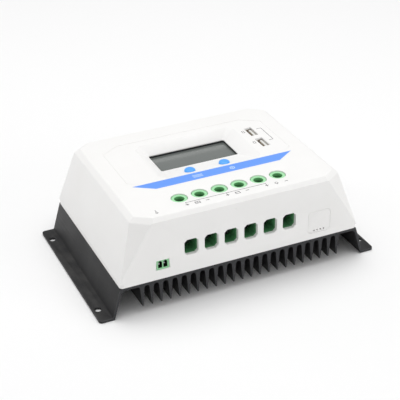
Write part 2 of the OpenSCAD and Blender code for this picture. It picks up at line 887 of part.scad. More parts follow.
module link_pins() {
    half = link_count * link_pitch / 2;
    color("gold") {
        for (i = [0 : link_count - 1]) {
            x = link_x + (i - (link_count - 1) / 2) * link_pitch;
            block([x - 0.32, x + 0.32], [link_y - 0.32, link_y + 0.32], [main_board_top_z + 2, display_board_z]);
        }
        block([link_x - half, link_x + half], [link_y - 1.25, link_y + 1.25], [display_board_z - 2.5, display_board_z]);
    }
}

// ---- charging sockets ----

module usb_shell(i) {
    w = usb_inner[0] / 2;
    d = usb_inner[1] / 2;
    t = usb_shell_t;
    color("lightgray") translate([usb_x, usb_y[i], 0]) difference() {
        block([-w - t, w + t], [-d - t, d + t], [display_board_top_z, usb_top_z]);
        block([-w, w], [-d, d], [display_board_top_z + t, usb_top_z + over]);
    }
}

module usb_tongue_part(i) {
    w = usb_inner[0] / 2 - 0.05;
    d = usb_inner[1] / 2 - 0.05;
    floor_z = display_board_top_z + usb_shell_t;
    tongue_d = usb_tongue[1] / 2;
    color("#e9e9e4") translate([usb_x, usb_y[i], 0]) {
        block([-w, w], [-d, d], [floor_z, floor_z + usb_base_h]);
        block([usb_tongue_x, usb_tongue_x + usb_tongue[0]], [-tongue_d, tongue_d],
            [floor_z + usb_base_h, usb_tongue_top_z]);
    }
}

module usb_contacts() {
    floor_z = display_board_top_z + usb_shell_t + usb_base_h;
    color("gold") for (y = usb_y, k = [0 : usb_contact_count - 1]) {
        mid = y + (k - (usb_contact_count - 1) / 2) * usb_contact_pitch;
        block([usb_x + usb_tongue_x - 0.25, usb_x + usb_tongue_x], [mid - 0.5, mid + 0.5],
            [floor_z, usb_tongue_top_z - 0.8]);
    }
}

heat_sink();
top_cover();
cover_screws();
main_board();
board_posts();
board_screws();
thermal_pad();
power_transistors();
capacitors();
current_shunts();
control_chips();
heat_sensor();
regulator_coil();
terminal_block(0);  // terminal_block_1
terminal_block(1);  // terminal_block_2
terminal_block(2);  // terminal_block_3
terminal_block(3);  // terminal_block_4
terminal_block(4);  // terminal_block_5
terminal_block(5);  // terminal_block_6
clamp_screw(0);  // clamp_screw_1
clamp_screw(1);  // clamp_screw_2
clamp_screw(2);  // clamp_screw_3
clamp_screw(3);  // clamp_screw_4
clamp_screw(4);  // clamp_screw_5
clamp_screw(5);  // clamp_screw_6
clamp_cage(0);  // clamp_cage_1
clamp_cage(1);  // clamp_cage_2
clamp_cage(2);  // clamp_cage_3
clamp_cage(3);  // clamp_cage_4
clamp_cage(4);  // clamp_cage_5
clamp_cage(5);  // clamp_cage_6
terminal_bars();
sensor_socket();
sensor_pins();
port_blank();
service_header();
display_board();
display_screws();
lcd_frame();
lcd_glass();
backlight();
switch_bodies();
link_socket();
link_pins();
usb_shell(0);  // usb_shell_1
usb_shell(1);  // usb_shell_2
usb_tongue_part(0);  // usb_tongue_1
usb_tongue_part(1);  // usb_tongue_2
usb_contacts();
push_button(0);  // menu_button
switch_stem(0);  // menu_switch_stem
push_button(1);  // set_button
switch_stem(1);  // set_switch_stem
stripe_label();
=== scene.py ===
import math
import bpy
import bmesh
from mathutils import Matrix, Vector


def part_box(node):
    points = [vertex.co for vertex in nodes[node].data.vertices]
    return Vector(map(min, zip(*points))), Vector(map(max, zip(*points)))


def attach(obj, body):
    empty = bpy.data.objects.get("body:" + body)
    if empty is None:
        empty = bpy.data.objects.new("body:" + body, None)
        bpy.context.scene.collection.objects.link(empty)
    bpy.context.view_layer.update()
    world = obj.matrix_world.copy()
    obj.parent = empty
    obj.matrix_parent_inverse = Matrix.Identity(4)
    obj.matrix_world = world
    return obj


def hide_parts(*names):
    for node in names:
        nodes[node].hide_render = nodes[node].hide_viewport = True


# Charge controller: black finned heat sink, white moulded cover, six cable
# terminals, display with two keys and two charging sockets. Metres throughout.

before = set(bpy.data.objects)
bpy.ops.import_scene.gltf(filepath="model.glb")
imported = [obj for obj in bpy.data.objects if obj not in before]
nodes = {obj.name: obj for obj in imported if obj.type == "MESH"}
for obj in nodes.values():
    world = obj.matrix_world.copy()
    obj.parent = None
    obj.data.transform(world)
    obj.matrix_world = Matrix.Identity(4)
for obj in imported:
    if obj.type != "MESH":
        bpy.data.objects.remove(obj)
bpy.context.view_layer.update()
mm = 0.001
poleNames = [str(k) for k in range(1, 7)]
print("frame loaded:", len(nodes), "nodes")

# the camera stands in front, to the left and above, on a long lens
cameraView = {
    "place": (-0.29125, -0.65512, 0.44892),
    "yaw": 0.41427,
    "pitch": 0.5228,
    "roll": -0.02064,
    "lens": 101.93,
}


def placeCamera(view):
    yaw, pitch, roll = view["yaw"], view["pitch"], view["roll"]
    forward = Vector((math.sin(yaw) * math.cos(pitch), math.cos(yaw) * math.cos(pitch), -math.sin(pitch)))
    right = forward.cross(Vector((0, 0, 1))).normalized()
    up = right.cross(forward)
    tiltedRight = right * math.cos(roll) + up * math.sin(roll)
    tiltedUp = up * math.cos(roll) - right * math.sin(roll)
    camera = bpy.data.objects.new("camera", bpy.data.cameras.new("camera"))
    camera.data.lens = view["lens"]
    camera.data.sensor_width = 36
    camera.data.clip_start = 0.05
    camera.data.clip_end = 20
    turn = Matrix((tiltedRight, tiltedUp, -forward)).transposed().to_4x4()
    camera.matrix_world = Matrix.Translation(view["place"]) @ turn
    bpy.context.scene.collection.objects.link(camera)
    bpy.context.scene.camera = camera


placeCamera(cameraView)
print("camera placed")

# node helpers


def addNode(tree, kind, sockets=None, **settings):
    node = tree.nodes.new(kind)
    for key, value in settings.items():
        setattr(node, key, value)
    for socket, value in (sockets or {}).items():
        if isinstance(value, bpy.types.NodeSocket):
            tree.links.new(value, node.inputs[socket])
        else:
            node.inputs[socket].default_value = value
    return node


def newTree(name, kind, inputs, outputs):
    tree = bpy.data.node_groups.new(name, kind)
    for label, socketType, value in inputs:
        socket = tree.interface.new_socket(label, in_out="INPUT", socket_type=socketType)
        if value is not None:
            socket.default_value = value
    for label, socketType in outputs:
        tree.interface.new_socket(label, in_out="OUTPUT", socket_type=socketType)
    return tree, tree.nodes.new("NodeGroupInput").outputs, tree.nodes.new("NodeGroupOutput")


def maths(tree, operation, *values, clamp=False):
    node = addNode(tree, "ShaderNodeMath", dict(enumerate(values)), operation=operation, use_clamp=clamp)
    return node.outputs[0]


def vector(tree, x=0.0, y=0.0, z=0.0):
    return addNode(tree, "ShaderNodeCombineXYZ", {"X": x, "Y": y, "Z": z}).outputs[0]


def moved(tree, geometry, offset=(0, 0, 0), turn=(0, 0, 0)):
    return addNode(tree, "GeometryNodeTransform", {"Geometry": geometry, "Translation": offset,
                                                   "Rotation": turn}).outputs[0]


def mixValues(tree, factor, low, high):
    node = addNode(tree, "ShaderNodeMix", {0: factor, 2: low, 3: high}, data_type="FLOAT")
    return node.outputs[0]


def mixColors(tree, factor, low, high):
    node = addNode(tree, "ShaderNodeMix", {0: factor, 6: low, 7: high}, data_type="RGBA")
    return node.outputs[2]


# shader groups shared by the finishes


def buildMouldGrain():
    # fine spark-eroded texture, with a slow drift of tone across the moulding
    tree, given, out = newTree(
        "mouldGrain", "ShaderNodeTree",
        [("Vector", "NodeSocketVector", None), ("Grain Scale", "NodeSocketFloat", 1400.0),
         ("Drift Scale", "NodeSocketFloat", 22.0)],
        [("Height", "NodeSocketFloat"), ("Tone", "NodeSocketFloat")],
    )
    fine = addNode(tree, "ShaderNodeTexNoise", {"Vector": given["Vector"], "Scale": given["Grain Scale"],
                                                "Detail": 2.0, "Roughness": 0.6})
    drift = addNode(tree, "ShaderNodeTexNoise", {"Vector": given["Vector"], "Scale": given["Drift Scale"],
                                                 "Detail": 4.0, "Roughness": 0.55})
    spread = addNode(tree, "ShaderNodeMapRange", {"Value": drift.outputs[0], 1: 0.3, 2: 0.7})
    tree.links.new(fine.outputs[0], out.inputs["Height"])
    tree.links.new(spread.outputs[0], out.inputs["Tone"])
    return tree


def buildDrawnLines():
    # long faint lines that run along Y, as a die leaves them
    tree, given, out = newTree(
        "drawnLines", "ShaderNodeTree",
        [("Vector", "NodeSocketVector", None), ("Line Scale", "NodeSocketFloat", 900.0),
         ("Stretch", "NodeSocketFloat", 0.012)],
        [("Lines", "NodeSocketFloat")],
    )
    squeeze = vector(tree, 1.0, given["Stretch"], 1.0)
    stretched = addNode(tree, "ShaderNodeVectorMath", {0: given["Vector"], 1: squeeze}, operation="MULTIPLY")
    noise = addNode(tree, "ShaderNodeTexNoise", {"Vector": stretched.outputs[0], "Scale": given["Line Scale"],
                                                 "Detail": 3.0, "Roughness": 0.65})
    spread = addNode(tree, "ShaderNodeMapRange", {"Value": noise.outputs[0], 1: 0.3, 2: 0.7})
    tree.links.new(spread.outputs[0], out.inputs["Lines"])
    return tree


def buildEdgeHighlight():
    # painted highlight on rounded edges: the rounded strips carry an attribute that this breaks up
    tree, given, out = newTree(
        "edgeHighlight", "ShaderNodeTree",
        [("Vector", "NodeSocketVector", None), ("Patch Scale", "NodeSocketFloat", 160.0),
         ("Amount", "NodeSocketFloat", 0.5)],
        [("Mask", "NodeSocketFloat")],
    )
    edge = addNode(tree, "ShaderNodeAttribute", attribute_name="edgeStrip", attribute_type="GEOMETRY")
    noise = addNode(tree, "ShaderNodeTexNoise", {"Vector": given["Vector"], "Scale": given["Patch Scale"],
                                                 "Detail": 3.0})
    patch = addNode(tree, "ShaderNodeMapRange", {"Value": noise.outputs[0], 1: 0.35, 2: 0.65})
    highlit = maths(tree, "MULTIPLY", edge.outputs["Fac"], patch.outputs[0])
    tree.links.new(maths(tree, "MULTIPLY", highlit, given["Amount"], clamp=True), out.inputs["Mask"])
    return tree


def buildSettledDust():
    # a thin veil on faces that look up
    tree, given, out = newTree(
        "settledDust", "ShaderNodeTree",
        [("Vector", "NodeSocketVector", None), ("Amount", "NodeSocketFloat", 0.05)],
        [("Mask", "NodeSocketFloat")],
    )
    normal = addNode(tree, "ShaderNodeNewGeometry").outputs["Normal"]
    upward = addNode(tree, "ShaderNodeSeparateXYZ", {0: normal}).outputs["Z"]
    noise = addNode(tree, "ShaderNodeTexNoise", {"Vector": given["Vector"], "Scale": 70.0, "Detail": 5.0})
    cloud = addNode(tree, "ShaderNodeMapRange", {"Value": noise.outputs[0], 1: 0.4, 2: 0.75})
    lying = maths(tree, "MULTIPLY", maths(tree, "MAXIMUM", upward, 0.0), cloud.outputs[0])
    tree.links.new(maths(tree, "MULTIPLY", lying, given["Amount"], clamp=True), out.inputs["Mask"])
    return tree


def buildPaintedHoleShade():
    # mask for painted shade in holes: 0 deep in a hole, where the shade colour is painted, and 1 at its
    # mouth, measured along a direction
    tree, given, out = newTree(
        "paintedHoleShade", "ShaderNodeTree",
        [("Vector", "NodeSocketVector", None), ("Direction", "NodeSocketVector", None),
         ("Low", "NodeSocketFloat", 0.06), ("High", "NodeSocketFloat", 0.07)],
        [("Mask", "NodeSocketFloat")],
    )
    reach = addNode(tree, "ShaderNodeVectorMath", {0: given["Vector"], 1: given["Direction"]},
                    operation="DOT_PRODUCT")
    ramp = addNode(tree, "ShaderNodeMapRange", {"Value": reach.outputs["Value"], 1: given["Low"],
                                                2: given["High"]})
    tree.links.new(ramp.outputs[0], out.inputs["Mask"])
    return tree


groups = {
    "holeShade": buildPaintedHoleShade(),
    "grain": buildMouldGrain(),
    "lines": buildDrawnLines(),
    "highlight": buildEdgeHighlight(),
    "dust": buildSettledDust(),
}


def useGroup(tree, name, sockets):
    return addNode(tree, "ShaderNodeGroup", sockets, node_tree=groups[name]).outputs


def makeFinish(name, look):
    # one Principled surface, its colour, roughness and relief driven by the groups
    material = bpy.data.materials.new(name)
    material.use_nodes = True
    tree = material.node_tree
    shader = tree.nodes["Principled BSDF"]
    where = addNode(tree, "ShaderNodeTexCoord").outputs["Object"]
    grain = useGroup(tree, "grain", {"Vector": where, "Grain Scale": look.get("grain", 1400.0),
                                     "Drift Scale": look.get("drift", 22.0)})
    color = mixColors(tree, grain["Tone"], (*look["color"], 1), (*look["shade"], 1))
    rough = mixValues(tree, grain["Tone"], look["rough"][0], look["rough"][1])
    height = grain["Height"]
    if "lines" in look:
        lines = useGroup(tree, "lines", {"Vector": where, "Line Scale": look["lines"]})["Lines"]
        streak = maths(tree, "MULTIPLY", lines, look.get("lineTone", 0.4))
        color = mixColors(tree, streak, color, (*look["lineColor"], 1))
        rough = maths(tree, "ADD", rough, maths(tree, "MULTIPLY", lines, 0.08))
        height = maths(tree, "ADD", maths(tree, "MULTIPLY", height, 0.5), maths(tree, "MULTIPLY", lines, 0.6))
    if "sawnColor" in look:
        # ends that were cut across the extrusion are a little lighter
        normal = addNode(tree, "ShaderNodeNewGeometry").outputs["Normal"]
        across = maths(tree, "ABSOLUTE", addNode(tree, "ShaderNodeSeparateXYZ", {0: normal}).outputs["Y"])
        cutFace = addNode(tree, "ShaderNodeMapRange", {"Value": across, 1: 0.9, 2: 0.99}).outputs[0]
        color = mixColors(tree, cutFace, color, (*look["sawnColor"], 1))
    # painted shade in holes: deeper than each band the colour turns to that band's darker tint
    for low, high, shadeTint in look.get("holeShadeBands", []):
        holeShade = useGroup(tree, "holeShade", {"Vector": where, "Direction": look.get("mouth", (0, 0, 1)),
                                       "Low": low * mm, "High": high * mm})["Mask"]
        color = mixColors(tree, holeShade, (*shadeTint, 1), color)
    # painted highlight: the rounded edge strips turn lighter and glossier, in patches
    if "edgeHighlightColor" in look:
        highlightMask = useGroup(tree, "highlight", {"Vector": where, "Amount": look.get("edgeHighlightAmount", 0.4)})["Mask"]
        color = mixColors(tree, highlightMask, color, (*look["edgeHighlightColor"], 1))
        rough = mixValues(tree, highlightMask, rough, look.get("edgeRough", 0.35))
    if "dust" in look:
        veil = useGroup(tree, "dust", {"Vector": where, "Amount": look["dust"]})["Mask"]
        color = mixColors(tree, veil, color, (0.62, 0.6, 0.56, 1))
        rough = mixValues(tree, veil, rough, 0.8)
    relief = addNode(tree, "ShaderNodeBump", {"Strength": look.get("relief", 0.3),
                                              "Distance": look.get("depth", 0.00003), "Height": height})
    tree.links.new(color, shader.inputs["Base Color"])
    tree.links.new(rough, shader.inputs["Roughness"])
    tree.links.new(relief.outputs[0], shader.inputs["Normal"])
    for socket, value in look.get("plain", {}).items():
        shader.inputs[socket].default_value = value
    material.diffuse_color = (*look["color"], 1)
    return material


# one finish for each material slot of the record; the edge colours paint highlights on rounded edges, and the
# bands paint shade in holes
finishLooks = {
    "white_shell": {"color": (0.90, 0.895, 0.885), "shade": (0.875, 0.868, 0.855), "rough": (0.44, 0.52),
                    "grain": 1900.0, "depth": 0.00004, "relief": 0.22, "edgeHighlightColor": (0.93, 0.925, 0.915),
                    "edgeHighlightAmount": 0.35, "edgeRough": 0.36, "dust": 0.03, "plain": {"IOR": 1.49}},
    "white_blank": {"color": (0.885, 0.88, 0.87), "shade": (0.86, 0.853, 0.84), "rough": (0.42, 0.5),
                    "grain": 1900.0, "depth": 0.00004, "relief": 0.2, "edgeHighlightColor": (0.92, 0.915, 0.905),
                    "edgeHighlightAmount": 0.3, "plain": {"IOR": 1.49}},
    "black_anodised": {"color": (0.0105, 0.0105, 0.011), "shade": (0.0145, 0.0143, 0.015),
                       "rough": (0.42, 0.54),
                       "grain": 2600.0, "lines": 700.0, "lineColor": (0.021, 0.021, 0.0225), "lineTone": 0.5,
                       "sawnColor": (0.032, 0.033, 0.036), "depth": 0.00005, "relief": 0.35,
                       "edgeHighlightColor": (0.12, 0.12, 0.125), "edgeHighlightAmount": 0.55, "edgeRough": 0.34, "dust": 0.05,
                       "plain": {"Specular IOR Level": 0.3}},
    "steel_screw": {"color": (0.6, 0.6, 0.61), "shade": (0.5, 0.5, 0.52), "rough": (0.26, 0.38),
                    "drift": 160.0,
                    "depth": 0.00003, "plain": {"Metallic": 1.0}},
    "green_board": {"color": (0.03, 0.2, 0.09), "shade": (0.02, 0.15, 0.06), "rough": (0.3, 0.4),
                    "drift": 60.0,
                    "grain": 2600.0, "depth": 0.00002},
    "brass_post": {"color": (0.66, 0.48, 0.2), "shade": (0.58, 0.4, 0.16), "rough": (0.28, 0.36),
                   "depth": 0.00002, "plain": {"Metallic": 1.0}},
    "grey_pad": {"color": (0.3, 0.34, 0.39), "shade": (0.26, 0.3, 0.35), "rough": (0.75, 0.85),
                 "depth": 0.00006},
    "black_package": {"color": (0.022, 0.022, 0.024), "shade": (0.03, 0.03, 0.031), "rough": (0.5, 0.62)},
    "can_sleeve": {"color": (0.03, 0.045, 0.11), "shade": (0.025, 0.035, 0.09), "rough": (0.25, 0.32)},
    "shunt_alloy": {"color": (0.5, 0.42, 0.3), "shade": (0.42, 0.35, 0.25), "rough": (0.35, 0.45),
                    "lines": 1200.0,
                    "lineColor": (0.6, 0.52, 0.4), "plain": {"Metallic": 1.0}},
    "sensor_lug": {"color": (0.65, 0.46, 0.3), "shade": (0.6, 0.42, 0.27), "rough": (0.35, 0.42),
                   "plain": {"Metallic": 1.0}},
    "ferrite": {"color": (0.05, 0.05, 0.055), "shade": (0.065, 0.065, 0.07), "rough": (0.7, 0.8),
                "depth": 0.00008},
    # painted shade in the screw bores: mid green just under the pale rim, nearly black lower down, dark green
    # in the throats below
    "green_terminal": {"color": (0.40, 0.80, 0.44), "shade": (0.36, 0.75, 0.41), "rough": (0.34, 0.42),
                       "grain": 1500.0, "depth": 0.00003, "edgeHighlightColor": (0.5, 0.88, 0.55), "edgeHighlightAmount": 0.0,
                       "edgeRough": 0.28, "dust": 0.02, "plain": {"IOR": 1.53},
                       "holeShadeBands": [(69.4, 69.8, (0.15, 0.48, 0.18)), (66, 68.5, (0.03, 0.11, 0.04)),
                                 (56, 60, (0.085, 0.28, 0.12))]},
    # painted shade: behind the front face the inside of the cable entries turns nearly black
    "pale_green": {"color": (0.30, 0.66, 0.345), "shade": (0.27, 0.61, 0.315), "rough": (0.34, 0.42),
                   "grain": 1500.0, "depth": 0.00003, "edgeHighlightColor": (0.5, 0.84, 0.54), "edgeHighlightAmount": 0.6,
                   "mouth": (0, -1, 0), "holeShadeBands": [(63.2, 63.8, (0.01, 0.02, 0.01))],
                   "plain": {"IOR": 1.53}},
    "copper_bar": {"color": (0.62, 0.42, 0.28), "shade": (0.56, 0.37, 0.24), "rough": (0.3, 0.4),
                   "lines": 1500.0,
                   "lineColor": (0.72, 0.56, 0.42), "plain": {"Metallic": 1.0}},
    "plated_screw": {"color": (0.58, 0.59, 0.6), "shade": (0.46, 0.47, 0.49), "rough": (0.24, 0.36),
                     "drift": 240.0,
                     "edgeHighlightColor": (0.8, 0.8, 0.8), "edgeHighlightAmount": 0.5, "plain": {"Metallic": 1.0}},
    "plated_cage": {"color": (0.62, 0.62, 0.63), "shade": (0.5, 0.5, 0.52), "rough": (0.28, 0.4),
                    "drift": 140.0,
                    "edgeHighlightColor": (0.82, 0.82, 0.82), "edgeHighlightAmount": 0.5, "plain": {"Metallic": 1.0}},
    "black_plastic": {"color": (0.014, 0.014, 0.015), "shade": (0.02, 0.02, 0.021), "rough": (0.48, 0.6),
                      "grain": 2200.0, "depth": 0.00003},
    "grey_glass": {"color": (0.125, 0.139, 0.131), "shade": (0.142, 0.155, 0.148), "rough": (0.16, 0.2),
                   "drift": 9.0,
                   "grain": 3200.0, "depth": 0.000004, "relief": 0.05,
                   "plain": {"Coat Weight": 0.6, "Coat Roughness": 0.05, "IOR": 1.5}},
    "light_guide": {"color": (0.85, 0.88, 0.92), "shade": (0.8, 0.84, 0.88), "rough": (0.5, 0.6)},
    "gold_contact": {"color": (0.85, 0.62, 0.28), "shade": (0.76, 0.54, 0.22), "rough": (0.22, 0.3),
                     "plain": {"Metallic": 1.0}},
    # painted shade: the socket shells turn darker and browner below their mouths
    "tin_shell": {"color": (0.8, 0.8, 0.79), "shade": (0.68, 0.68, 0.68), "rough": (0.2, 0.3), "drift": 180.0,
                  "edgeHighlightColor": (0.9, 0.9, 0.9), "edgeHighlightAmount": 0.4, "plain": {"Metallic": 1.0},
                  "holeShadeBands": [(68.6, 69.8, (0.42, 0.34, 0.27))]},
    "white_tongue": {"color": (0.83, 0.83, 0.8), "shade": (0.79, 0.79, 0.76), "rough": (0.35, 0.42)},
    "blue_button": {"color": (0.10, 0.41, 1.0), "shade": (0.085, 0.37, 0.96), "rough": (0.32, 0.38),
                    "grain": 1600.0, "depth": 0.00002,
                    "plain": {"Subsurface Weight": 0.12, "Subsurface Radius": (0.0006, 0.0012, 0.002),
                              "IOR": 1.45}},
    "blue_print": {"color": (0.135, 0.34, 0.95), "shade": (0.125, 0.32, 0.92), "rough": (0.38, 0.46),
                   "grain": 2200.0, "depth": 0.00002},
}
finishes = {slot: makeFinish(slot, look) for slot, look in finishLooks.items()}
finishes["print_grey"] = makeFinish("print_grey", {"color": (0.11, 0.11, 0.115), "shade": (0.15, 0.15, 0.155),
                                                   "rough": (0.5, 0.6)})
finishes["print_pale"] = makeFinish("print_pale", {"color": (0.62, 0.78, 0.98), "shade": (0.56, 0.73, 0.96),
                                                   "rough": (0.45, 0.55)})
print("finishes made:", len(finishes))

nodeSlot = {}
for nodeName, part in nodes.items():
    for materialSlot in part.material_slots:
        slotName = materialSlot.material.name.split(".")[0]
        nodeSlot[nodeName] = slotName
        materialSlot.material = finishes[slotName]

# mesh helpers


def newPiece(name, mesh, finish):
    piece = bpy.data.objects.new(name, mesh)
    bpy.context.scene.collection.objects.link(piece)
    if finish:
        mesh.materials.clear()
        mesh.materials.append(finishes[finish])
    return piece


def bakeModifiers(piece):
    # the evaluated shape becomes the piece's own mesh
    bpy.context.view_layer.update()
    graph = bpy.context.evaluated_depsgraph_get()
    mesh = bpy.data.meshes.new_from_object(piece.evaluated_get(graph), depsgraph=graph)
    piece.modifiers.clear()
    old = piece.data
    piece.data = mesh
    mesh.name = piece.name
    bpy.data.meshes.remove(old)
    return piece


def roundEdges(bm, edges, width, steps=3):
    # rounds some edges and marks the new strips, where the finish paints an edge highlight
    strip = bm.faces.layers.float.get("edgeStrip") or bm.faces.layers.float.new("edgeStrip")
    done = bmesh.ops.bevel(bm, geom=edges, offset=width, segments=steps, profile=0.5, affect="EDGES",
                           clamp_overlap=False, miter_outer="SHARP", loop_slide=True)
    for face in done["faces"]:
        face[strip] = 1.0
        face.smooth = True


def joinedNodes(*names):
    # one clean surface from the loose triangles of some frame parts
    bm = bmesh.new()
    for name in names:
        bm.from_mesh(nodes[name].data)
    bmesh.ops.remove_doubles(bm, verts=bm.verts, dist=3e-6)
    bmesh.ops.dissolve_limit(bm, angle_limit=math.radians(0.6), verts=bm.verts, edges=bm.edges)
    bmesh.ops.dissolve_degenerate(bm, edges=bm.edges, dist=2e-6)
    for face in bm.faces:
        face.smooth = False
        face.material_index = 0
    return bm


def middleOf(edge):
    return (edge.verts[0].co + edge.verts[1].co) / 2


def sharpness(edge):
    if len(edge.link_faces) != 2 or not edge.is_convex:
        return 0
    return math.degrees(edge.calc_face_angle(0))


def smoothRound(bm, limit=30):
    # curved walls shade smoothly, everything over the limit stays crisp
    for face in bm.faces:
        face.smooth = True
    for edge in bm.edges:
        if len(edge.link_faces) == 2:
            edge.smooth = math.degrees(edge.calc_face_angle(0)) < limit


def finishMesh(bm, name, finish):
    mesh = bpy.data.meshes.new(name)
    bm.normal_update()
    bm.to_mesh(mesh)
    bm.free()
    return newPiece(name, mesh, finish)


def softCopy(name, node, width, body="chassis", steps=3, skip=None, limit=40):
    # a frame part with its outside edges rounded, standing for that part
    bm = joinedNodes(node)
    edges = [e for e in bm.edges if sharpness(e) > limit and not (skip and skip(middleOf(e)))]
    roundEdges(bm, edges, width, steps)
    smoothRound(bm)
    piece = finishMesh(bm, name, nodeSlot[node])
    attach(piece, body)
    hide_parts(node)
    return piece


def plainSlab(bm, corners, bottom, top):
    # a closed prism over a flat outline given anticlockwise
    low = [bm.verts.new((x, y, bottom)) for x, y in corners]
    high = [bm.verts.new((x, y, top)) for x, y in corners]
    bm.faces.new(list(reversed(low)))
    bm.faces.new(high)
    for i in range(len(corners)):
        j = (i + 1) % len(corners)
        bm.faces.new((low[i], low[j], high[j], high[i]))


def turnedPiece(name, outline, centre, finish, around=64):
    # a lathe shape from (radius, height) pairs, first and last on the axis
    bm = bmesh.new()
    rings = []
    for radius, height in outline:
        if radius == 0:
            rings.append([bm.verts.new((centre[0], centre[1], height))])
            continue
        angles = [2 * math.pi * i / around for i in range(around)]
        spots = [(centre[0] + radius * math.cos(a), centre[1] + radius * math.sin(a), height) for a in angles]
        rings.append([bm.verts.new(spot) for spot in spots])
    for lower, upper in zip(rings, rings[1:]):
        for i in range(around):
            j = (i + 1) % around
            if len(lower) == 1:
                bm.faces.new((lower[0], upper[j], upper[i]))
            elif len(upper) == 1:
                bm.faces.new((lower[i], lower[j], upper[0]))
            else:
                bm.faces.new((lower[i], lower[j], upper[j], upper[i]))
    bmesh.ops.recalc_face_normals(bm, faces=bm.faces)
    smoothRound(bm, 35)
    return finishMesh(bm, name, finish)


def growPiece(name, tree, values, finish):
    # runs a geometry tree on an empty mesh and keeps the plain result
    piece = newPiece(name, bpy.data.meshes.new(name), None)
    modifier = piece.modifiers.new("grow", "NODES")
    modifier.node_group = tree
    sockets = {item.name: item.identifier for item in tree.interface.items_tree
               if item.item_type == "SOCKET" and item.in_out == "INPUT"}
    for label, value in {**values, "Material": finishes[finish]}.items():
        modifier[sockets[label]] = value
    return bakeModifiers(piece)


def finishTree(tree, out, geometry, material):
    plain = addNode(tree, "GeometryNodeRealizeInstances", {0: geometry})
    painted = addNode(tree, "GeometryNodeSetMaterial", {"Geometry": plain.outputs[0], "Material": material})
    tree.links.new(painted.outputs[0], out.inputs["Geometry"])


# heat sink

sinkLow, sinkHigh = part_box("heat_sink")
channel = {
    "plateTop": sinkHigh.z,
    "plateThick": 2 * mm,
    "plateHalf": 90.5 * mm,
    "wallThick": 1.9 * mm,
    "wallLean": 7 * mm,
    "bendRadius": 0.6 * mm,
    "heelRadius": 0.9 * mm,
    "innerBend": 3.5 * mm,
    "edgeRadius": 0.8 * mm,
    "cornerRadius": 2.5 * mm,
    "holePitch": (205 * mm, 100 * mm),
    "holeRadius": 2.5 * mm,
    "screwPitch": (165 * mm, 104 * mm),
    "screwHole": 1.7 * mm,
    "burr": 0.22 * mm,
}


def roundCorner(before, corner, after, radius, steps=6):
    toBefore = (before - corner).normalized()
    toAfter = (after - corner).normalized()
    half = toBefore.angle(toAfter) / 2
    centre = corner + (toBefore + toAfter).normalized() * radius / math.sin(half)
    start = corner + toBefore * radius / math.tan(half) - centre
    end = corner + toAfter * radius / math.tan(half) - centre
    return [centre + start.lerp(end, k / steps).normalized() * radius for k in range(steps + 1)]


def channelOutline(s):
    # X and Z of the bent channel: plate, leaning side walls and flanges, without the fins
    slope = s["wallLean"] / s["plateTop"]
    footX = s["plateHalf"] + s["wallLean"]
    underside = s["plateTop"] - s["plateThick"]
    endX = sinkHigh.x
    topMiddle = Vector((0, s["plateTop"]))
    shoulder = Vector((s["plateHalf"], s["plateTop"]))
    foot = Vector((footX - slope * s["wallThick"], s["wallThick"]))
    end = Vector((endX, s["wallThick"]))
    heel = Vector((footX - s["wallThick"], 0))
    inner = Vector((footX - s["wallThick"] - slope * underside, underside))
    right = roundCorner(topMiddle, shoulder, foot, s["edgeRadius"], 4)
    right += roundCorner(shoulder, foot, end, s["bendRadius"])
    right += [end, Vector((endX, 0))]
    right += roundCorner(Vector((endX, 0)), heel, inner, s["heelRadius"])
    right += roundCorner(heel, inner, Vector((0, underside)), s["innerBend"])
    left = [Vector((-p.x, p.y)) for p in reversed(right)]
    return right + left


def drillTools(s):
    # one mesh with every round hole and flange corner that is taken out
    bm = bmesh.new()
    sizes = [(s["holePitch"], s["holeRadius"], -1 * mm, s["wallThick"] + 1 * mm),
             (s["screwPitch"], s["screwHole"], s["plateTop"] - 4 * mm, s["plateTop"] + 1 * mm)]
    for (pitchX, pitchY), radius, bottom, top in sizes:
        for signX in (-1, 1):
            for signY in (-1, 1):
                middle = Vector((signX * pitchX / 2, signY * pitchY / 2))
                ring = [middle + radius * Vector((math.cos(a), math.sin(a)))
                        for a in (2 * math.pi * i / 48 for i in range(48))]
                plainSlab(bm, [tuple(p) for p in ring], bottom, top)
    reach, over = s["cornerRadius"], 1 * mm
    for signX in (-1, 1):
        for signY in (-1, 1):
            corner = Vector((signX * sinkHigh.x, signY * sinkHigh.y))
            towardX, towardY = Vector((-signX * reach * 2, 0)), Vector((0, -signY * reach * 2))
            arc = roundCorner(corner + towardX, corner, corner + towardY, reach)
            beyond = [corner + Vector((signX * over, -signY * reach)),
                      corner + Vector((signX * over, signY * over)),
                      corner + Vector((-signX * reach, signY * over))]
            outline = [tuple(p) for p in arc + beyond]
            plainSlab(bm, outline if signX * signY > 0 else outline[::-1], -1 * mm, s["wallThick"] + 1 * mm)
    bmesh.ops.recalc_face_normals(bm, faces=bm.faces)
    mesh = bpy.data.meshes.new("drillTools")
    bm.to_mesh(mesh)
    bm.free()
    tool = bpy.data.objects.new("drillTools", mesh)
    bpy.context.scene.collection.objects.link(tool)
    return tool


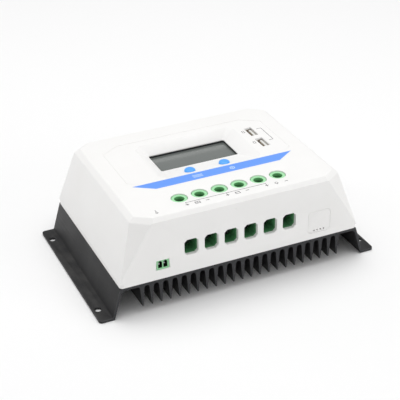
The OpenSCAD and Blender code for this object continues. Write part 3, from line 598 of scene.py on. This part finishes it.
def buildChannel(s):
    bm = bmesh.new()
    outline = channelOutline(s)
    front = [bm.verts.new((p.x, sinkLow.y, p.y)) for p in outline]
    back = [bm.verts.new((p.x, sinkHigh.y, p.y)) for p in outline]
    bm.faces.new(front)
    bm.faces.new(list(reversed(back)))
    for i in range(len(outline)):
        j = (i + 1) % len(outline)
        bm.faces.new((front[j], front[i], back[i], back[j]))
    bmesh.ops.recalc_face_normals(bm, faces=bm.faces)
    piece = finishMesh(bm, "sinkChannel", "black_anodised")
    tool = drillTools(s)
    cut = piece.modifiers.new("drill", "BOOLEAN")
    cut.object = tool
    cut.operation = "DIFFERENCE"
    cut.solver = "EXACT"
    bakeModifiers(piece)
    bpy.data.objects.remove(tool)
    bm = bmesh.new()
    bm.from_mesh(piece.data)
    bmesh.ops.remove_doubles(bm, verts=bm.verts, dist=2e-6)
    bmesh.ops.dissolve_limit(bm, angle_limit=math.radians(0.6), verts=bm.verts, edges=bm.edges)
    roundEdges(bm, [e for e in bm.edges if sharpness(e) > 40], s["burr"], 2)
    smoothRound(bm)
    bm.to_mesh(piece.data)
    bm.free()
    piece.data.materials.clear()
    piece.data.materials.append(finishes["black_anodised"])
    return piece


finRow = {
    "Count": 23,
    "Pitch": 6.82 * mm,
    "Root Width": 3.3 * mm,
    "Tip Width": 0.9 * mm,
    "Root Height": sinkHigh.z - channel["plateThick"],
    "Tip Height": 5.2 * mm,
    "Bury": 0.3 * mm,
    "Root Radius": 1.72 * mm,
    "Tip Radius": 0.15 * mm,
    "Length": sinkHigh.y - sinkLow.y,
}


def buildFinTree():
    # one fin's section as an eight-point outline with filleted roots, swept and set out in a row
    labels = [("Count", "NodeSocketInt")] + [(k, "NodeSocketFloat") for k in finRow if k != "Count"]
    tree, given, out = newTree(
        "finRow", "GeometryNodeTree",
        [(label, kind, None) for label, kind in labels] + [("Material", "NodeSocketMaterial", None)],
        [("Geometry", "NodeSocketGeometry")],
    )
    halfPitch = maths(tree, "MULTIPLY", given["Pitch"], 0.5)
    halfRoot = maths(tree, "MULTIPLY", given["Root Width"], 0.5)
    halfTip = maths(tree, "MULTIPLY", given["Tip Width"], 0.5)
    buried = maths(tree, "ADD", given["Root Height"], given["Bury"])
    corners = [(halfPitch, buried), (halfPitch, given["Root Height"]), (halfRoot, given["Root Height"]),
               (halfTip, given["Tip Height"])]
    places = [vector(tree, x, 0.0, z) for x, z in corners]
    places += [vector(tree, maths(tree, "MULTIPLY", x, -1.0), 0.0, z) for x, z in reversed(corners)]
    index = addNode(tree, "GeometryNodeInputIndex").outputs[0]
    place = addNode(tree, "GeometryNodeIndexSwitch", data_type="VECTOR")
    radius = addNode(tree, "GeometryNodeIndexSwitch", data_type="FLOAT")
    for switch in (place, radius):
        while len(switch.index_switch_items) < len(places):
            switch.index_switch_items.new()
        tree.links.new(index, switch.inputs["Index"])
    rounding = {2: "Root Radius", 5: "Root Radius", 3: "Tip Radius", 4: "Tip Radius"}
    for i, spot in enumerate(places):
        tree.links.new(spot, place.inputs[i + 1])
        if i in rounding:
            tree.links.new(given[rounding[i]], radius.inputs[i + 1])
    line = addNode(tree, "GeometryNodeCurvePrimitiveLine")
    dots = addNode(tree, "GeometryNodeResampleCurve", {"Curve": line.outputs[0], "Count": len(places)})
    shaped = addNode(tree, "GeometryNodeSetPosition", {"Geometry": dots.outputs[0],
                                                       "Position": place.outputs[0]})
    closed = addNode(tree, "GeometryNodeSetSplineCyclic", {"Geometry": shaped.outputs[0], "Cyclic": True})
    fillet = addNode(tree, "GeometryNodeFilletCurve", {"Curve": closed.outputs[0], "Limit Radius": True,
                                                       "Radius": radius.outputs[0]})
    if hasattr(fillet, "mode"):
        fillet.mode = "POLY"
    fillet.inputs["Count"].default_value = 6
    # laid flat for filling, raised to a solid, then stood up again
    flat = moved(tree, fillet.outputs[0], turn=(-math.pi / 2, 0, 0))
    sheet = addNode(tree, "GeometryNodeFillCurve", {"Curve": flat})
    if hasattr(sheet, "mode"):
        sheet.mode = "NGONS"
    lift = vector(tree, z=given["Length"])
    raised = addNode(tree, "GeometryNodeExtrudeMesh", {"Mesh": sheet.outputs[0], "Offset": lift,
                                                       "Offset Scale": 1.0, "Individual": False})
    base = addNode(tree, "GeometryNodeFlipFaces", {"Mesh": sheet.outputs[0]})
    both = addNode(tree, "GeometryNodeJoinGeometry")
    tree.links.new(raised.outputs[0], both.inputs[0])
    tree.links.new(base.outputs[0], both.inputs[0])
    sewn = addNode(tree, "GeometryNodeMergeByDistance", {"Geometry": both.outputs[0], "Distance": 1e-6})
    halfBack = maths(tree, "MULTIPLY", given["Length"], 0.5)
    stood = moved(tree, sewn.outputs[0], vector(tree, y=halfBack), (math.pi / 2, 0, 0))
    span = maths(tree, "MULTIPLY", maths(tree, "SUBTRACT", given["Count"], 1.0), halfPitch)
    first = vector(tree, maths(tree, "MULTIPLY", span, -1.0))
    step = vector(tree, given["Pitch"])
    points = addNode(tree, "GeometryNodeMeshLine", {"Count": given["Count"], "Start Location": first,
                                                    "Offset": step})
    row = addNode(tree, "GeometryNodeInstanceOnPoints", {"Points": points.outputs[0],
                                                         "Instance": stood})
    finishTree(tree, out, row.outputs[0], given["Material"])
    return tree


def ownFaces(piece, limit=30):
    # outward faces, no doubles, crisp corners
    bm = bmesh.new()
    bm.from_mesh(piece.data)
    bmesh.ops.remove_doubles(bm, verts=bm.verts, dist=1e-7)
    bmesh.ops.recalc_face_normals(bm, faces=bm.faces)
    smoothRound(bm, limit)
    bm.to_mesh(piece.data)
    bm.free()
    return piece


sinkChannel = buildChannel(channel)
sinkFins = ownFaces(growPiece("sinkFins", buildFinTree(), finRow, "black_anodised"))
for piece in (sinkChannel, sinkFins):
    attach(piece, "chassis")
    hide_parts("heat_sink")
print("heat sink made")

# cover

coverLow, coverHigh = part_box("top_cover")
stripeLow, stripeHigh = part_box("stripe_label")
coverRounding = {
    "outside": 0.7 * mm,
    "openings": 0.12 * mm,
    "lineInside": 53.5 * mm,
    "lineOutside": 64 * mm,
    "lineBack": (43.5 * mm, 45 * mm),
    "lineFront": -30 * mm,
    "dimple": (-5.4 * mm, 1.5 * mm),
}


def coverEdges(bm, s):
    # big outside corners and small opening rims are rounded apart; shallow grooves stay crisp
    outside, openings = [], []
    for edge in bm.edges:
        if sharpness(edge) < 10:
            continue
        middle = middleOf(edge)
        atTop = middle.z > coverHigh.z - 0.3 * mm
        if atTop and stripeLow.y - 0.3 * mm < middle.y < stripeHigh.y + 0.3 * mm:
            continue
        beside = abs(middle.x) > s["lineInside"] or middle.y > s["lineBack"][0]
        within = abs(middle.x) < s["lineOutside"] and s["lineFront"] < middle.y < s["lineBack"][1]
        if atTop and beside and within:
            continue
        dimpleX, dimpleReach = s["dimple"]
        if middle.y < coverLow.y + 0.4 * mm and middle.z > 62 * mm and abs(middle.x - dimpleX) < dimpleReach:
            continue
        slopes = [f.normal for f in edge.link_faces]
        long = edge.calc_length() > 6 * mm
        atEnd = min(abs(middle.y - coverLow.y), abs(middle.y - coverHigh.y)) < 0.1 * mm
        skin = middle.z > coverHigh.z - 4 * mm or atEnd
        onSide = skin and all(n.z > -0.2 for n in slopes) and abs(middle.x) > 50 * mm
        if long and (onSide or (atTop and abs(middle.y) > 50 * mm)):
            outside.append(edge)
        elif middle.y < coverLow.y + 0.1 * mm or atTop:
            openings.append(edge)
    return outside, openings


def edgeEnds(edge):
    return tuple(sorted(tuple(v.co) for v in edge.verts))


def buildCover(s):
    bm = joinedNodes("top_cover")
    outside, openings = coverEdges(bm, s)
    print("cover edges:", len(outside), "outside,", len(openings), "at openings")
    # the first rounding renews the edges, so the rims are found again by their ends
    kept = {edgeEnds(e) for e in openings}
    roundEdges(bm, outside, s["outside"], 4)
    still = [e for e in bm.edges if edgeEnds(e) in kept]
    roundEdges(bm, still, s["openings"], 3)
    smoothRound(bm, 24)
    piece = finishMesh(bm, "coverShell", "white_shell")
    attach(piece, "chassis")
    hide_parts("top_cover")
    return piece


buildCover(coverRounding)
print("cover made")

# terminals

terminalRounding = {
    "block": 0.4 * mm,
    "cage": 0.2 * mm,
}

for k in poleNames:
    softCopy("terminalBlock" + k, "terminal_block_" + k, terminalRounding["block"])
    softCopy("clampCage" + k, "clamp_cage_" + k, terminalRounding["cage"], body="clamp_cage_" + k, steps=2)

clampScrew = {
    "Head Radius": 3.35 * mm,
    "Head Height": 2.8 * mm,
    "Chamfer": 0.35 * mm,
    "Slot Width": 1 * mm,
    "Slot Depth": 1.3 * mm,
    "Shank Radius": 2.5 * mm,
    "Thread Depth": 0.32 * mm,
    "Thread Pitch": 0.8 * mm,
    "Shank Length": 12 * mm,
}


def buildScrewTree():
    # a slotted cheese-head screw, head up, its seat at the given place
    tree, given, out = newTree(
        "slottedScrew", "GeometryNodeTree",
        [("Place", "NodeSocketVector", None)] + [(k, "NodeSocketFloat", None) for k in clampScrew]
        + [("Material", "NodeSocketMaterial", None)],
        [("Geometry", "NodeSocketGeometry")],
    )
    index = addNode(tree, "GeometryNodeInputIndex").outputs[0]
    circle = addNode(tree, "GeometryNodeCurvePrimitiveCircle", {"Resolution": 48, "Radius": 1.0}).outputs[0]

    def turned(length, count, start, radius, heights=None):
        line = addNode(tree, "GeometryNodeCurvePrimitiveLine", {"End": vector(tree, z=length)})
        dots = addNode(tree, "GeometryNodeResampleCurve", {"Curve": line.outputs[0], "Count": count})
        if heights is not None:
            dots = addNode(tree, "GeometryNodeSetPosition", {"Geometry": dots.outputs[0],
                                                             "Position": vector(tree, z=heights)})
        sized = addNode(tree, "GeometryNodeSetCurveRadius", {"Curve": dots.outputs[0], "Radius": radius})
        solid = addNode(tree, "GeometryNodeCurveToMesh", {"Curve": sized.outputs[0], "Profile Curve": circle,
                                                          "Fill Caps": True})
        if "Scale" in solid.inputs:
            tree.links.new(radius, solid.inputs["Scale"])
        return moved(tree, solid.outputs[0], vector(tree, z=start))

    # the head has four levels: chamfered foot, side, and chamfered rim
    upper = maths(tree, "GREATER_THAN", index, 1.5)
    fromMiddle = maths(tree, "ABSOLUTE", maths(tree, "SUBTRACT", index, 1.5))
    inside = maths(tree, "MULTIPLY", maths(tree, "GREATER_THAN", fromMiddle, 1.0), given["Chamfer"])
    headRadius = maths(tree, "SUBTRACT", given["Head Radius"], inside)
    fromEnd = maths(tree, "SUBTRACT", given["Chamfer"], inside)
    headHeight = mixNumber(tree, upper, fromEnd, maths(tree, "SUBTRACT", given["Head Height"], fromEnd))
    head = turned(given["Head Height"], 4, 0.0, headRadius, headHeight)
    slotSize = vector(tree, maths(tree, "MULTIPLY", given["Head Radius"], 3.0), given["Slot Width"],
                      maths(tree, "MULTIPLY", given["Slot Depth"], 2.0))
    cutter = addNode(tree, "GeometryNodeMeshCube", {"Size": slotSize})
    cutter = moved(tree, cutter.outputs[0], vector(tree, z=given["Head Height"]))
    slotted = addNode(tree, "GeometryNodeMeshBoolean", {"Mesh 1": head, "Mesh 2": cutter},
                      operation="DIFFERENCE")
    # the thread is a stack of ridges, two points to a turn
    turns = maths(tree, "DIVIDE", given["Shank Length"], given["Thread Pitch"])
    count = maths(tree, "ADD", maths(tree, "MULTIPLY", maths(tree, "FLOOR", turns), 2.0), 1.0)
    dip = maths(tree, "MULTIPLY", maths(tree, "MODULO", index, 2.0), given["Thread Depth"])
    ridge = maths(tree, "SUBTRACT", given["Shank Radius"], dip)
    below = maths(tree, "MULTIPLY", given["Shank Length"], -1.0)
    thread = turned(maths(tree, "ADD", given["Shank Length"], 0.0002), count, below, ridge)
    both = addNode(tree, "GeometryNodeJoinGeometry")
    tree.links.new(slotted.outputs[0], both.inputs[0])
    tree.links.new(thread, both.inputs[0])
    placed = moved(tree, both.outputs[0], given["Place"])
    finishTree(tree, out, placed, given["Material"])
    return tree


def mixNumber(tree, factor, low, high):
    # low where the factor is 0, high where it is 1
    gap = maths(tree, "SUBTRACT", high, low)
    return maths(tree, "ADD", low, maths(tree, "MULTIPLY", gap, factor))


screwTree = buildScrewTree()
for k in poleNames:
    low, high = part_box("clamp_screw_" + k)
    seat = high.z - clampScrew["Head Height"]
    sizes = {**clampScrew, "Shank Length": seat - low.z,
             "Place": ((low.x + high.x) / 2, (low.y + high.y) / 2, seat)}
    screw = ownFaces(growPiece("clampScrew" + k, screwTree, sizes, "plated_screw"))
    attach(screw, "clamp_screw_" + k)
    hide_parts("clamp_screw_" + k)
print("terminals made")

# sockets and the small parts in the walls

socketRounding = {
    "sensor": 0.25 * mm,
    "blank": 0.2 * mm,
    "shell": 0.12 * mm,
    "tongue": 0.15 * mm,
    "frame": 0.1 * mm,
    "slotHeight": 30 * mm,
}


def besideSlots(place):
    # the blank's back and its row of small holes stay crisp
    return place.y > coverLow.y + 0.2 * mm or abs(place.z - socketRounding["slotHeight"]) < 1 * mm


softCopy("sensorSocket", "sensor_socket", socketRounding["sensor"])
softCopy("portBlank", "port_blank", socketRounding["blank"], steps=2, skip=besideSlots)
for k in "12":
    softCopy("usbShell" + k, "usb_shell_" + k, socketRounding["shell"], steps=2)
    softCopy("usbTongue" + k, "usb_tongue_" + k, socketRounding["tongue"], steps=2)
softCopy("lcdFrame", "lcd_frame", socketRounding["frame"], steps=2)
print("sockets made")

# keys

keyShape = {
    "skirtRadius": 0.35 * mm,
    "domeHeight": 1.6 * mm,
    "domeSteps": 14,
    "flangeTop": 64.6 * mm,
    "flangeThick": 1 * mm,
    "flangeEdge": 0.2 * mm,
    "capRadius": 3.95 * mm,
    "stemRadius": 2 * mm,
    "stemEdge": 0.3 * mm,
}


def buildKey(name, node, body, s):
    low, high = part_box(node)
    centre = ((low.x + high.x) / 2, (low.y + high.y) / 2)
    flange = (high.x - low.x) / 2
    radius, stem, edge = s["capRadius"], s["stemRadius"], s["flangeEdge"]
    top, shoulder = s["flangeTop"], s["flangeTop"] - s["flangeThick"]
    outline = [(0, low.z), (stem - s["stemEdge"], low.z), (stem, low.z + s["stemEdge"]), (stem, shoulder),
               (flange - edge, shoulder), (flange, shoulder + edge),
               (flange, top - edge), (flange - edge, top),
               (radius + s["skirtRadius"], top), (radius, top + s["skirtRadius"])]
    for i in range(s["domeSteps"] + 1):
        angle = i / s["domeSteps"] * math.pi / 2
        # a dome that is flatter in the middle than a ball
        reach, lift = math.cos(angle) ** 0.8, math.sin(angle) ** 0.9
        if i == s["domeSteps"]:
            reach, lift = 0, 1
        outline.append((radius * reach, high.z - s["domeHeight"] * (1 - lift)))
    key = turnedPiece(name, outline, centre, "blue_button")
    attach(key, body)
    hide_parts(node)
    return key


buildKey("menuKey", "menu_button", "menu_key", keyShape)
buildKey("setKey", "set_button", "set_key", keyShape)
print("keys made")

# printed marks: thin ink on the roof and the stripe

inkTop = coverHigh.z + 0.03 * mm
inkBottom = coverHigh.z - 0.03 * mm
poleX = [(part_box("terminal_block_" + k)[0].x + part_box("terminal_block_" + k)[1].x) / 2 for k in poleNames]

poleSigns = {
    "Size": 2.5 * mm,
    "Line": 0.55 * mm,
    "Row": -56 * mm,
    "Shift": 1.3 * mm,
}


def buildSignTree():
    # plus or minus signs at every second pole
    tree, given, out = newTree(
        "signRow", "GeometryNodeTree",
        [("Count", "NodeSocketInt", 3), ("First", "NodeSocketVector", None),
         ("Step", "NodeSocketFloat", 0.03), ("Size", "NodeSocketFloat", 0.002),
         ("Line", "NodeSocketFloat", 0.0004),
         ("Thick", "NodeSocketFloat", 0.00004), ("Upright", "NodeSocketFloat", 1.0),
         ("Material", "NodeSocketMaterial", None)],
        [("Geometry", "NodeSocketGeometry")],
    )
    flatSize = vector(tree, given["Size"], given["Line"], given["Thick"])
    flat = addNode(tree, "GeometryNodeMeshCube", {"Size": flatSize}).outputs[0]
    # the upright of a plus is two short arms, so nothing overlaps
    arm = maths(tree, "MULTIPLY", maths(tree, "SUBTRACT", given["Size"], given["Line"]), 0.5)
    armSize = vector(tree, given["Line"], arm, given["Thick"])
    bar = addNode(tree, "GeometryNodeMeshCube", {"Size": armSize}).outputs[0]
    away = maths(tree, "MULTIPLY", maths(tree, "ADD", arm, given["Line"]), 0.5)
    sign = addNode(tree, "GeometryNodeJoinGeometry")
    tree.links.new(flat, sign.inputs[0])
    isPlus = maths(tree, "GREATER_THAN", given["Upright"], 0.5)
    for side in (1.0, -1.0):
        placed = moved(tree, bar, vector(tree, y=maths(tree, "MULTIPLY", away, side)))
        keep = addNode(tree, "GeometryNodeSwitch", {"Switch": isPlus, "True": placed}, input_type="GEOMETRY")
        tree.links.new(keep.outputs[0], sign.inputs[0])
    points = addNode(tree, "GeometryNodeMeshLine", {"Count": given["Count"], "Start Location": given["First"],
                                                    "Offset": vector(tree, given["Step"])})
    row = addNode(tree, "GeometryNodeInstanceOnPoints", {"Points": points.outputs[0],
                                                         "Instance": sign.outputs[0]})
    finishTree(tree, out, row.outputs[0], given["Material"])
    return tree


signTree = buildSignTree()
for name, first, upright in (("plusSigns", 0, 1.0), ("minusSigns", 1, 0.0)):
    values = {"Count": 3, "Step": poleX[2] - poleX[0], "Size": poleSigns["Size"], "Line": poleSigns["Line"],
              "Thick": inkTop - inkBottom, "Upright": upright,
              "First": (poleX[first] + poleSigns["Shift"], poleSigns["Row"], (inkTop + inkBottom) / 2)}
    signs = growPiece(name, signTree, values, "print_grey")
    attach(signs, "chassis")


def inkPiece(name, shapes, finish, top=inkTop, bottom=inkBottom):
    # flat ink from closed outlines, each anticlockwise
    bm = bmesh.new()
    for corners in shapes:
        plainSlab(bm, corners, bottom, top)
    piece = finishMesh(bm, name, finish)
    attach(piece, "chassis")
    return piece


def bar(x0, y0, x1, y1):
    return [(x0 * mm, y0 * mm), (x1 * mm, y0 * mm), (x1 * mm, y1 * mm), (x0 * mm, y1 * mm)]


def ringSegments(x, y, radius, line, count=28):
    # a ring as a chain of short quads
    quads = []
    for i in range(count):
        a, b = 2 * math.pi * i / count, 2 * math.pi * (i + 1) / count
        inner, outer = (radius - line / 2) * mm, (radius + line / 2) * mm
        quads.append([(x * mm + inner * math.cos(a), y * mm + inner * math.sin(a)),
                      (x * mm + outer * math.cos(a), y * mm + outer * math.sin(a)),
                      (x * mm + outer * math.cos(b), y * mm + outer * math.sin(b)),
                      (x * mm + inner * math.cos(b), y * mm + inner * math.sin(b))])
    return quads


def boxOutline(x, y, wide, deep, line):
    left, right, front, back = x - wide / 2, x + wide / 2, y - deep / 2, y + deep / 2
    return [bar(left, front, right, front + line), bar(left, back - line, right, back),
            bar(left, front + line, left + line, back - line),
            bar(right - line, front + line, right, back - line)]


# places and sizes of the pictures, in millimetres
roofPrint = {
    "railX": (-37.3, 22.8),
    "railY": (-53.4, -53.0),
    "tickX": (-37.2, -7.2, 22.5),
    "tickFoot": -54.2,
    "panel": (-56.2, 3.8, 2.8),
    "cell": (-56.35, 3.6, 2.2),
    "lamp": (-55.7, 1.05),
    "line": 0.4,
}
socketPrint = {
    "bracketX": (54.9, 58.3, 58.7),
    "bracketY": (4.1, 4.5, 24.3, 24.7),
    "plugX": 43.6,
    "plugY": (24, 5.2),
    "plugSize": (1.9, 3.2, 0.35),
    "bulb": (-59.4, -57.1, 0.8, 0.4),
    "stem": (-59.6, -56.1, -59.2, -53.6),
}
stripePrint = {
    "lineX": (-18.2, -10.8),
    "lineY": (-24.2, -22.85, -21.5),
    "lineThick": 0.55,
    "dial": (12.2, -22.6, 1.6, 0.6),
    "dialDot": (11.7, -23.1, 12.7, -22.1),
}


def roofMarks(s):
    # a rail that joins the three pole pairs, and a plain picture for each pair
    pairX = [(poleX[i] + poleX[i + 1]) / 2 / mm + 1.3 for i in (0, 2, 4)]
    (left, right), (low, high) = s["railX"], s["railY"]
    rail = [bar(left, low, right, high)] + [bar(x - 0.2, s["tickFoot"], x + 0.2, low) for x in s["tickX"]]
    inkPiece("poleRail", rail, "print_grey")
    x, (y, wide, deep) = pairX[0], s["panel"]
    panel = boxOutline(x, y, wide, deep, s["line"])
    panel += [bar(x - 0.15, -57.2, x + 0.15, -55.2), bar(x - 1.5, y - 0.15, x - 0.15, y + 0.15),
              bar(x + 0.15, y - 0.15, x + 1.5, y + 0.15)]
    inkPiece("panelPicture", panel, "print_grey")
    x, (y, wide, deep) = pairX[1], s["cell"]
    cell = boxOutline(x, y, wide, deep, s["line"])
    cell += [bar(x - 1.25, -55.25, x - 0.45, -54.8), bar(x + 0.45, -55.25, x + 1.25, -54.8)]
    inkPiece("cellPicture", cell, "print_grey")
    x, (y, radius) = pairX[2], s["lamp"]
    lamp = ringSegments(x, y, radius, s["line"])
    lamp += [bar(x - 0.45, -57.35, x + 0.45, -57.1), bar(x - 0.45, -56.95, x + 0.45, -56.75)]
    inkPiece("lampPicture", lamp, "print_grey")


def socketMarks(s):
    # a bracket beside the charging sockets and a bulb for the sensor socket
    (x0, x1, x2), (y0, y1, y2, y3) = s["bracketX"], s["bracketY"]
    inkPiece("socketBracket", [bar(x0, y2, x2, y3), bar(x1, y1, x2, y2), bar(x0, y0, x2, y1)], "print_grey")
    pictures = []
    for y in s["plugY"]:
        pictures += boxOutline(s["plugX"], y, *s["plugSize"])
    inkPiece("socketPictures", pictures, "print_grey")
    inkPiece("sensorPicture", ringSegments(*s["bulb"], 20) + [bar(*s["stem"])], "print_grey")


def stripeMarks(s):
    # three short lines for the first key and a ring for the second
    left, right = s["lineX"]
    inkPiece("menuPicture", [bar(left, y, right, y + s["lineThick"]) for y in s["lineY"]], "print_pale")
    inkPiece("setPicture", ringSegments(*s["dial"]) + [bar(*s["dialDot"])], "print_pale")


roofMarks(roofPrint)
socketMarks(socketPrint)
stripeMarks(stripePrint)
print("marks printed")

# studio

studio = {
    "floorReach": 6.0,
    "floorColor": (0.92, 0.92, 0.92),
    "sky": 0.54,
    "lamps": [
        # name, place, aim, size, power
        ("overhead", (0.05, 0.1, 1.5), (0, 0, 0.05), 1.6, 14.0),
        ("frontFill", (1.1, -1.4, 0.5), (0, 0, 0.05), 1.2, 5.2),
        ("leftFill", (-1.4, 1.0, 0.5), (0, 0, 0.05), 1.2, 4.0),
    ],
}


def buildStudio(s):
    bm = bmesh.new()
    reach = s["floorReach"]
    corners = ((-1, -1), (1, -1), (1, 1), (-1, 1))
    bm.faces.new([bm.verts.new((x * reach, y * reach, -0.0001)) for x, y in corners])
    mesh = bpy.data.meshes.new("floor")
    bm.to_mesh(mesh)
    bm.free()
    floor = bpy.data.objects.new("floor", mesh)
    bpy.context.scene.collection.objects.link(floor)
    paper = bpy.data.materials.new("paleFloor")
    paper.use_nodes = True
    shader = paper.node_tree.nodes["Principled BSDF"]
    shader.inputs["Base Color"].default_value = (*s["floorColor"], 1)
    shader.inputs["Roughness"].default_value = 0.9
    shader.inputs["Specular IOR Level"].default_value = 0.1
    mesh.materials.append(paper)
    world = bpy.data.worlds.new("studioSky")
    world.use_nodes = True
    backdrop = world.node_tree.nodes["Background"]
    backdrop.inputs["Color"].default_value = (1, 1, 1, 1)
    backdrop.inputs["Strength"].default_value = s["sky"]
    bpy.context.scene.world = world
    for name, place, aim, size, power in s["lamps"]:
        lamp = bpy.data.objects.new(name, bpy.data.lights.new(name, "AREA"))
        lamp.data.shape = "DISK"
        lamp.data.size = size
        lamp.data.energy = power
        direction = Vector(aim) - Vector(place)
        aimed = direction.to_track_quat("-Z", "Y").to_matrix().to_4x4()
        lamp.matrix_world = Matrix.Translation(place) @ aimed
        bpy.context.scene.collection.objects.link(lamp)
    bpy.context.scene.view_settings.view_transform = "Standard"


buildStudio(studio)
print("studio lit")
